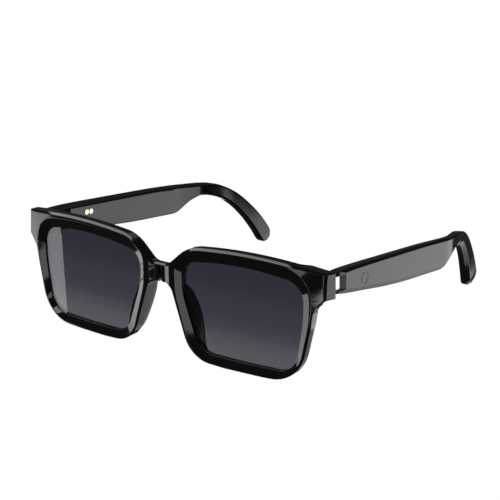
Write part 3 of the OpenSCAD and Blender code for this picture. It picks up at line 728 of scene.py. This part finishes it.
def half_front(bm):
    """One half of the front, as rings from the lens opening over the face to the rear and back."""
    stations = half_stations()
    opening = rounded(OPENING, OPENING_STEPS)
    bevel = rounded(BEVEL_EDGE, OPENING_STEPS)
    land = rounded(grown(BEVEL_EDGE, LAND * 0.9), OPENING_STEPS)
    chamfers = [mix(SIDE_CHAMFER, TOP_CHAMFER, smooth_step((s[0].y - BRIDGE_LOW - 4) / 6))
                for s in stations]
    border = [drawn(s, c + 0.12) for s, c in zip(stations, chamfers)]
    seam_top = border[0].y
    seam_low = border[-1].y
    seam = [Vector((0, mix(seam_low, seam_top, k / SEAM_STEPS))) for k in range(1, SEAM_STEPS)]
    rear_border = [drawn(s, REAR_ROUND) for s in stations]
    rear_seam = [Vector((0, mix(rear_border[-1].y, rear_border[0].y, k / SEAM_STEPS)))
                 for k in range(1, SEAM_STEPS)]

    def end_tilt(p, edge):
        return END_TILT * max(0.0, (p - edge).length) * smooth_step((p.x - OPEN_MID) / 10)

    columns = []
    edges = []
    ways = ray_ways(border + seam)
    for p, out in zip(border + seam, ways):
        whole = (p - MIDDLE).length
        r_open = reach(opening, out)
        r_bevel = min(reach(bevel, out), whole - 0.4)
        r_land = min(reach(land, out), whole - 0.16)
        edge = MIDDLE + out * r_land
        edges.append(edge)

        def at(r, depth):
            q = MIDDLE + out * r
            return Vector((q.x, wrap_y(q.x) + depth + bridge_recess(q.x), q.y))

        slope = BEVEL_DEPTH / (r_bevel - r_open)
        row = [at(r_open, BEVEL_DEPTH + 1.2), at(r_open, BEVEL_DEPTH + 0.08),
               at(r_open + 0.07, BEVEL_DEPTH - 0.04), at(r_bevel - 0.14, 0.14 * slope + 0.005),
               at(r_bevel, 0.02), at(r_bevel + 0.12, 0.0), at(r_land - 0.12, 0.0), at(r_land, 0.012)]
        steps = []
        for x in (BRIDGE_SIDE + 0.12, BRIDGE_SIDE - 0.12, BRIDGE_FLAT + 0.12, BRIDGE_FLAT - 0.12):
            share = (edge.x - x) / (edge.x - p.x) if p.x < x and edge.x > x else 2
            steps.append(share)
        for k, share in enumerate(steps):
            share = min(share, 0.9 + 0.02 * k)
            q = edge.lerp(p, max(0.03 + 0.01 * k, share))
            row.append(Vector((q.x, wrap_y(q.x) + bridge_recess(q.x) + end_tilt(q, edge), q.y)))
        row.append(Vector((p.x, wrap_y(p.x) + bridge_recess(p.x) + end_tilt(p, edge), p.y)))
        columns.append(row)
    rows = [add_row(bm, ring) for ring in zip(*columns)]
    join_rows(bm, rows)

    # The chamfer, the wall and the rounded rear edge, along the outline only
    count = len(stations)
    wall_rows = [rows[-1][:count]]
    for step in range(4):
        row = []
        for k, station in enumerate(stations):
            chamfer = chamfers[k]
            inside = (chamfer, 0.07, 0.0, 0.0)[step]
            down = (0.025, chamfer - 0.05, chamfer + 0.06, chamfer + 0.5)[step]
            p = drawn(station, inside)
            face = wrap_y(p.x) + bridge_recess(p.x) + end_tilt(border[k], edges[k])
            row.append(placed(p, face + down))
        wall_rows.append(add_row(bm, row))
    for amount in (0.0, 0.05, 0.18, 0.4, 0.7, 1.0):
        inside = amount * REAR_ROUND
        row = [placed(p, rear_y(p) - rear_profile(p, inside)) for p in (drawn(s, inside) for s in stations)]
        wall_rows.append(add_row(bm, row))
    join_rows(bm, wall_rows, cyclic=False)

    # The rear face, from the outline in to the lens opening
    columns = []
    for p in rear_border + rear_seam:
        out = (p - MIDDLE).normalized()
        r_open = reach(opening, out)
        goal = MIDDLE + out * (r_open + 1.0)
        inside = 0.02
        outside = 0.04
        if block_share(p) > 0.01:
            shares = [k / 80 for k in range(81)]
            inside = max([s for s in shares if block_share(p.lerp(goal, s)) > 0.98], default=0.02)
            outside = min([s for s in shares if block_share(p.lerp(goal, s)) < 0.02], default=0.9)
            outside = max(outside, inside + 0.02)
        middle = (inside + outside) / 2
        row = [p.lerp(goal, share) for share in (inside, middle, outside)]
        row = [placed(q, rear_y(q)) for q in row]
        for r, ahead in ((r_open + 1.0, 0.0), (r_open + 0.25, 0.03), (r_open, 0.3)):
            q = MIDDLE + out * r
            row.append(Vector((q.x, wrap_y(q.x) + rim_depth(q.y) - ahead, q.y)))
        q = MIDDLE + out * r_open
        row.append(Vector((q.x, lens_front_y(q.x) + LENS_T - 0.2, q.y)))
        columns.append(row)
    seam_row = add_row(bm, [Vector((0, wrap_y(0) + rim_depth(p.y), p.y)) for p in rear_seam])
    rear_start = wall_rows[-1] + seam_row
    join_rows(bm, [rear_start] + [add_row(bm, ring) for ring in zip(*columns)])


def make_front():
    bm = bmesh.new()
    half_front(bm)
    whole = bm.copy()
    mirrored_mesh(whole)
    mesh = bpy.data.meshes.new("half")
    whole.to_mesh(mesh)
    whole.free()
    bm.from_mesh(mesh)
    bpy.data.meshes.remove(mesh)
    piece = new_object("front", bm, "front", FRAME_BLACK)
    even_normals(piece)
    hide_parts("front_frame")


# ================================================================ lenses
def make_lens(side, sign):
    """A lens with its real curve, as rings out from its middle."""
    bm = bmesh.new()
    edge = rounded(grown(OPENING, LENS_LIP), OPENING_STEPS)
    front_rows = []
    rear_rows = []
    for k in range(LENS_RINGS + 1):
        share = k / LENS_RINGS
        points = [MIDDLE.lerp(p, share) for p in edge]
        front_rows.append([(p.x, lens_front_y(p.x), p.y) for p in points])
        rear_rows.append([(p.x, lens_front_y(p.x) + LENS_T, p.y) for p in points])
    order = front_rows + list(reversed(rear_rows))
    rows = [add_row(bm, row) for row in order]
    join_rows(bm, rows)
    if sign < 0:
        mirrored_mesh(bm)
    piece = new_object(f"tinted_lens_{side}", bm, "front", LENS_TINT)
    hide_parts(f"lens_{side}")


# ================================================================ nose pads
def make_pad(side, sign):
    """A pad that carries the nose side of a rim on to the rear and rounds off there."""
    edge = rounded(RIM_PATH, OUTLINE_STEPS)
    nose_side = [p for p in edge if 0 < p.x < 30 and p.y < BRIDGE_LOW - 0.2]
    nose_side.sort(key=lambda p: p.y)

    def edge_x(z):
        for p, q in zip(nose_side, nose_side[1:]):
            if p.y <= z <= q.y:
                return mix(p.x, q.x, (z - p.y) / max(1e-6, q.y - p.y))
        return nose_side[-1].x if z > nose_side[-1].y else nose_side[0].x

    bm = bmesh.new()
    top = BRIDGE_LOW + 0.8
    low = 1.6
    slices = 44
    around = 26
    rows = []
    for i in range(slices + 1):
        share = i / slices
        z = mix(top, low, share)
        swell = math.sin(math.pi * mix(0.03, 0.97, share)) ** 0.45
        deep = 1.4 + (6.0 - 3.1 * share) * swell
        width = 6.6 * swell
        x0 = edge_x(z) + 0.02 + 1.6 * (1 - swell)
        row = []
        for k in range(around + 1):
            angle = math.pi * k / around
            side_way = math.copysign(abs(math.cos(angle)) ** 0.55, math.cos(angle))
            back = max(0.0, math.sin(angle)) ** 0.75
            x = x0 + width / 2 * (1 - side_way)
            row.append((x, wrap_y(x) + rim_depth(z) - 1.4 + deep * back, z - 0.5 * back * (1 - share)))
        rows.append(add_row(bm, row))
    join_rows(bm, rows, cyclic=False)
    for row in (rows[0], rows[-1]):
        bm.faces.new(row)
    front_strip = [[row[0] for row in rows], [row[-1] for row in rows]]
    join_rows(bm, front_strip, cyclic=False)
    if sign < 0:
        mirrored_mesh(bm)
    piece = new_object(f"shaped_pad_{side}", bm, "front", FRAME_BLACK,
                       sharp=PAD_SHARP_ANGLE)
    even_normals(piece)
    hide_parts(f"nose_pad_{side}")


# ================================================================ temples
GROWTH = ((0, 0), (0.017, 0.2), (0.046, 0.36), (0.123, 0.53), (0.25, 0.68), (0.443, 0.87), (0.635, 0.98),
          (0.827, 1), (0.955, 0.98), (1, 0.94), (1.045, 0.72), (1.103, 0.33), (1.16, 0.04))
TOP_DROP = ((0, 2.3), (0.017, 1.4), (0.046, 0.6), (0.12, 0.2), (0.25, 0), (0.8, 0), (1, 0.4), (1.16, 0.9))


def lookup(share, table):
    if share <= table[0][0]:
        return table[0][1]
    for (a, p), (b, q) in zip(table, table[1:]):
        if share <= b:
            return mix(p, q, (share - a) / (b - a))
    return table[-1][1]


def temple_t(y):
    return mix(ROOT_T, ARM_T, max(0.0, min(1.0, y / (BODY_LEN * 1.15))))


def top_z(y):
    return END_TOP - 0.7 - y * DROOP


def body_height(y):
    return mix(ROOT_H, BODY_H, lookup(y / BODY_LEN, GROWTH))


def inset(y):
    u = max(0.0, y - BODY_LEN)
    if u < HOOK * BEND_R:
        return u * u / (2 * BEND_R)
    return HOOK * u - HOOK * HOOK * BEND_R / 2


ARM_START = GROWTH[-1][0]
ARM_Z = top_z(BODY_LEN * ARM_START) - 0.9 - 0.24 * BODY_H
TIP_LEAN = math.radians(60)


def temple_rows():
    """Rows of (distance from the end piece, height, lean, height of the section, share of thickness)."""
    rows = []
    for share, _ in GROWTH:
        y = share * BODY_LEN
        h = body_height(y)
        rows.append((y, top_z(y) - lookup(share, TOP_DROP) - h / 2, 0, h, 1))
    hook = ((0.3, 0, 6, 1.22), (0.395, 0.035, 13, 1.26), (0.52, 0.13, 25, 1.38), (0.64, 0.3, 39, 1.54),
            (0.752, 0.53, 50, 1.7), (0.845, 0.77, 57, 1.88))
    for share, down, lean, h in hook:
        rows.append((BODY_LEN + share * HOOK_LEN, mix(ARM_Z, TIP_R, down), math.radians(lean), h * TIP_R, 1))
    rows.append((TEMPLE_LEN - TIP_R, TIP_R, TIP_LEAN, 2 * TIP_R, 1))
    return rows


def spline(rows, i, t):
    a, b, c, d = (rows[max(0, min(len(rows) - 1, k))] for k in (i - 1, i, i + 1, i + 2))
    return tuple(0.5 * (2 * q + (r - p) * t + (2 * p - 5 * q + 4 * r - s) * t * t
                        + (3 * q - p - 3 * r + s) * t * t * t) for p, q, r, s in zip(a, b, c, d))


def tip_cap(angle):
    return (TEMPLE_LEN - TIP_R + TIP_R * math.cos(angle) * math.cos(TIP_LEAN),
            TIP_R - TIP_R * math.cos(angle) * math.sin(TIP_LEAN), TIP_LEAN,
            2 * TIP_R * math.sin(angle), 0.4 + 0.6 * math.sin(angle))


def section(h, t):
    """Cross-section of a temple as (across, up) from the inner face."""
    r = min(1.0, 0.3 * h)
    c = min(2.0, 0.3 * h)
    w = min(1.2, 0.3 * t)
    in_top = h / 2 - min(0.9, 0.12 * h)
    corners = [(0, -h / 2 + 0.5 * c, 0.5), (0, in_top, r), (t, h / 2, 1.3 * r),
               (t, -h / 2 + c, 0.4 * w), (t - w, -h / 2, 0.35 * w), (0.5 * w, -h / 2, 0.3 * w)]
    corners = [(a, b, min(q, 0.14 * h)) for a, b, q in corners]
    return rounded(corners, SECTION_STEPS)


def placed_in_temple(row, p):
    y, z, lean, _, share = row
    edge = temple_t(y) * (1 - share) / 2
    return Vector((INNER_X - inset(y) + edge + p.x, STOP_Y + y + p.y * math.sin(lean),
                   z + p.y * math.cos(lean)))


def temple_stations():
    rows = temple_rows()
    stations = [spline(rows, i, k / 5) for i in range(len(rows) - 1) for k in range(5)]
    stations.append(rows[-1])
    stations += [tip_cap(math.radians(a)) for a in range(80, 4, -6)]
    stations += [tip_cap(math.radians(1.5))]
    y, z, lean, h, share = stations[0]
    stations[0] = (y + 0.1, z, lean, h * 1.02, share)
    return stations


def notch_cutter():
    floor_z = HINGE_Z - NOTCH_H / 2
    out_x = INNER_X + ROOT_T + 1
    slant = (NOTCH_IN - NOTCH_OUT) / ROOT_T
    fall = (NOTCH_FALL - 0.5) / (ROOT_T + 2)
    plan = [(INNER_X - 1, STOP_Y - 1), (INNER_X - 1, STOP_Y + NOTCH_IN + slant),
            (out_x, STOP_Y + NOTCH_OUT - slant), (out_x, STOP_Y - 1)]
    cutter = prism(plan, lambda p: floor_z - 0.5 - fall * (out_x - p[0]), HINGE_Z + NOTCH_H / 2)
    cut(cutter, prism(arc(AXIS_X, AXIS_Y, TINE_R, range(0, 360, 5)), 0, floor_z))
    return cutter


def root_cutters():
    """What is taken off the root: the corners that turn past the end piece, and the inner top."""
    out_x = INNER_X + ROOT_T
    corner = arc(AXIS_X, AXIS_Y, TINE_R, range(-90, -181, -5))
    inner = [(INNER_X - 1, STOP_Y - 1), (AXIS_X, STOP_Y - 1)] + corner + [(INNER_X - 1, AXIS_Y)]
    outer = [(AXIS_X + 1.4, STOP_Y - 1), (AXIS_X + 1.4, STOP_Y), (AXIS_X + 2, STOP_Y + 0.7),
             (AXIS_X + 2.7, STOP_Y + 2), (out_x - 0.8, STOP_Y + 4.2), (out_x - 0.1, STOP_Y + NOTCH_OUT),
             (out_x + 1, STOP_Y + NOTCH_OUT + 1), (out_x + 1, STOP_Y - 1)]
    top = [(INNER_X - 1, STOP_Y - 1), (INNER_X - 1, STOP_Y + NOTCH_IN + 0.6),
           (AXIS_X + 1, STOP_Y + NOTCH_OUT), (AXIS_X + 1, STOP_Y - 1)]
    tine_z = HINGE_Z + NOTCH_H / 2 + TINE_T
    return [prism(inner, END_LOW - 6, END_TOP + 5), prism(outer, END_LOW - 6, END_TOP + 5),
            prism(top, tine_z, tine_z + 10)]


# Turns a plan of (along the temple, up) points on its side, so that a prism grows outwards
ON_SIDE = Matrix(((0, 0, 1, 0), (1, 0, 0, 0), (0, 1, 0, 0), (0, 0, 0, 1)))


def cover_cutter():
    """The room for the inner cover, let into the inner face."""
    ys = [mix(COVER_START, BODY_LEN - 1.5, k / 10) for k in range(11)]
    upper = [(STOP_Y + y, top_z(y) - 2, 1.5 if y in (ys[0], ys[-1]) else 0.01) for y in ys]
    lower = [(STOP_Y + y, top_z(y) - body_height(y) + 2.2, 1.5 if y in (ys[0], ys[-1]) else 0.01)
             for y in reversed(ys)]
    return prism(rounded(upper + lower, 6), INNER_X - 1, INNER_X + COVER_T, ON_SIDE)


def mark_cutter():
    """A shallow ring groove round the touch area on the outer face."""
    x = INNER_X + temple_t(MARK_Y)
    centre = Vector((x - MARK_DEPTH, STOP_Y + MARK_Y, top_z(MARK_Y) - MARK_DROP))
    across = Matrix.Translation(centre) @ ON_SIDE
    ring = prism(arc(0, 0, MARK_OUTER_R, range(0, 360, 6)), 0, 1.2, across)
    cut(ring, prism(arc(0, 0, MARK_INNER_R, range(0, 360, 6)), -1, 2, across))
    return ring


def make_temple(side, sign):
    bm = bmesh.new()
    rows = []
    for station in temple_stations():
        points = section(station[3], temple_t(station[0]) * station[4])
        rows.append(add_row(bm, [placed_in_temple(station, p) for p in points]))
    join_rows(bm, rows)
    bm.faces.new(rows[0])
    bm.faces.new(list(reversed(rows[-1])))
    piece = new_object(f"temple_{side}_body", bm, f"temple_{side}", TEMPLE_BLACK,
                       weld=0.002)
    for cutter in [notch_cutter()] + root_cutters() + [cover_cutter(), mark_cutter()]:
        cut(piece, cutter)
    if sign < 0:
        piece.data.transform(Matrix.Scale(-1, 4, (1, 0, 0)))
        piece.data.flip_normals()
    piece.data.set_sharp_from_angle(angle=math.radians(SHARP_ANGLE))
    even_normals(piece)
    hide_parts(f"temple_shell_{side}")


# ================================================================ stage, lights and camera
def direction(azimuth, elevation):
    """A unit vector. The azimuth is 0 in front of the face and grows towards the wearer's left."""
    turn = math.radians(azimuth)
    rise = math.radians(elevation)
    return Vector((math.sin(turn) * math.cos(rise), -math.cos(turn) * math.cos(rise), math.sin(rise)))


def make_stage():
    """A plain white floor that only the eye sees, so the light from under it still arrives."""
    material, tree, shader = new_material("stage_white")
    glow = tree.nodes.new("ShaderNodeEmission")
    glow.inputs["Strength"].default_value = 1.0
    grain = place_group(tree, SPECKLE, First=(1, 1, 1, 1), Second=(0.995, 0.995, 0.995, 1), Scale=0.02)
    link(tree, grain.outputs["Color"], glow.inputs["Color"])
    clear = tree.nodes.new("ShaderNodeBsdfTransparent")
    both = tree.nodes.new("ShaderNodeMixShader")
    link(tree, eye_rays(tree), both.inputs["Fac"])
    link(tree, clear.outputs["BSDF"], both.inputs[1])
    link(tree, glow.outputs["Emission"], both.inputs[2])
    link(tree, both.outputs["Shader"], tree.nodes["Material Output"].inputs["Surface"])
    tree.nodes.remove(shader)
    bm = bmesh.new()
    half = 3000
    below = -0.05
    corners = ((-half, -half), (half, -half), (half, half), (-half, half))
    bm.faces.new([bm.verts.new((x, y, below)) for x, y in corners])
    floor = object_from("floor", bm)
    floor.data.materials.append(material)


def eye_rays(tree):
    """1 for what is seen straight on or through a lens, 0 for what is only reflected."""
    rays = tree.nodes.new("ShaderNodeLightPath")
    return math_node(tree, "MAXIMUM", rays.outputs["Is Camera Ray"], rays.outputs["Is Transmission Ray"])


def make_world():
    """White to the eye, and nearly black to the gloss, so that only the panels show in it."""
    world = bpy.data.worlds.new("studio")
    bpy.context.scene.world = world
    world.use_nodes = True
    tree = world.node_tree
    background = tree.nodes["Background"]
    link(tree, ranged(tree, eye_rays(tree), 0, 1, 0.05, 1.0), background.inputs["Strength"])
    background.inputs["Color"].default_value = (1, 1, 1, 1)


def panel(name, azimuth, elevation, distance, width, height, brightness):
    """A soft rectangular light that faces the glasses. Sizes are in millimetres."""
    light = bpy.data.lights.new(name, "AREA")
    light.shape = "RECTANGLE"
    light.size = width * MM
    light.size_y = height * MM
    light.energy = brightness * math.pi * light.size * light.size_y
    lamp = in_scene(name, light)
    away = direction(azimuth, elevation)
    lamp.location = (Vector((0, FACE_Y, 20)) + away * distance) * MM
    lamp.rotation_euler = (-away).to_track_quat("-Z", "Y").to_euler()
    lamp.visible_camera = False
    lamp.visible_transmission = False


def make_lights():
    """Panels round the glasses, placed for the flats and bevels that should catch them."""
    panel("left_panel", -80, -17, 900, 680, 420, 2.2)
    panel("front_left_panel", -11, -10, 1000, 170, 400, 1.8)
    panel("front_low_panel", 2.6, -17, 1000, 50, 180, 4.0)
    panel("front_right_panel", 16, -7, 1000, 330, 650, 1.8)
    panel("high_panel", -50, 50, 900, 1300, 460, 3.4)
    panel("right_panel", 140, -17, 1000, 900, 520, 1.9)
    panel("right_low_panel", 168, -40, 900, 560, 420, 0.7)
    panel("rear_panel", -150, 45, 900, 500, 300, 0.4)
    panel("rear_left_panel", -135, -22, 1000, 700, 420, 1.2)
    panel("rear_right_panel", 50, 18, 1000, 500, 260, 0.6)


def make_camera():
    """The view from the wearer's front left, a little above."""
    camera = bpy.data.cameras.new("camera")
    camera.lens = 115.2
    camera.sensor_width = 36
    camera.clip_start = 0.01
    view = in_scene("camera", camera)
    target = Vector((21.3, FACE_Y + 30, 37.9))
    distance = 620.9
    away = direction(37.12, 17.48)
    view.location = (target + away * distance) * MM
    roll = Matrix.Rotation(math.radians(-0.46), 4, "Z")
    turn = (-away).to_track_quat("-Z", "Y").to_matrix().to_4x4() @ roll
    view.rotation_euler = turn.to_euler()
    bpy.context.scene.camera = view


# ================================================================ putting it together
finish_cad_nodes()
make_front()
for side_name, side_sign in SIDES:
    make_lens(side_name, side_sign)
    make_pad(side_name, side_sign)
    make_temple(side_name, side_sign)
make_stage()
make_world()
make_lights()
make_camera()
bpy.context.scene.view_settings.view_transform = "Standard"
